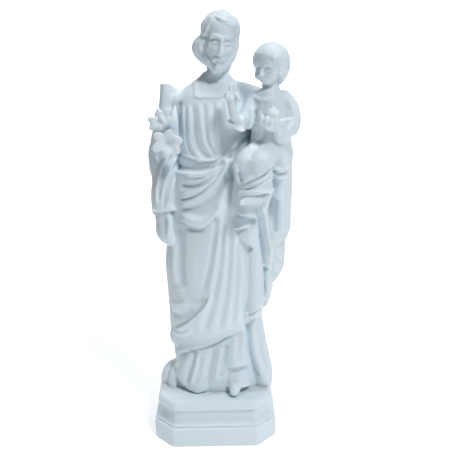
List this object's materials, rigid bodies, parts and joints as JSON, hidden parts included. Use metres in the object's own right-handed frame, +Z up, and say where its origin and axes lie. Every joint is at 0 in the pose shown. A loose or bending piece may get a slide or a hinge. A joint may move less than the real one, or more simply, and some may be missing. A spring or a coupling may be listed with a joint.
{
  "type": "saint joseph statue",
  "caption": "Cast standing statue of a robed, bearded saint carrying a child on one arm, with a lily staff and an octagonal moulded plinth; stands on a flat underside.",
  "frame": {"origin": "centre of the plinth's flat underside", "axes": "+X to the statue's left (right in a front view), +Y to its back, +Z up through the heads"},
  "size_m": [0.1055, 0.0816, 0.3009],
  "materials": {
    "cast_white_resin": "cast white marble-powder resin, satin, unpainted"
  },
  "bodies": {
    "root": {"saint_joseph_statue": "cast_white_resin"}
  },
  "joints": []
}
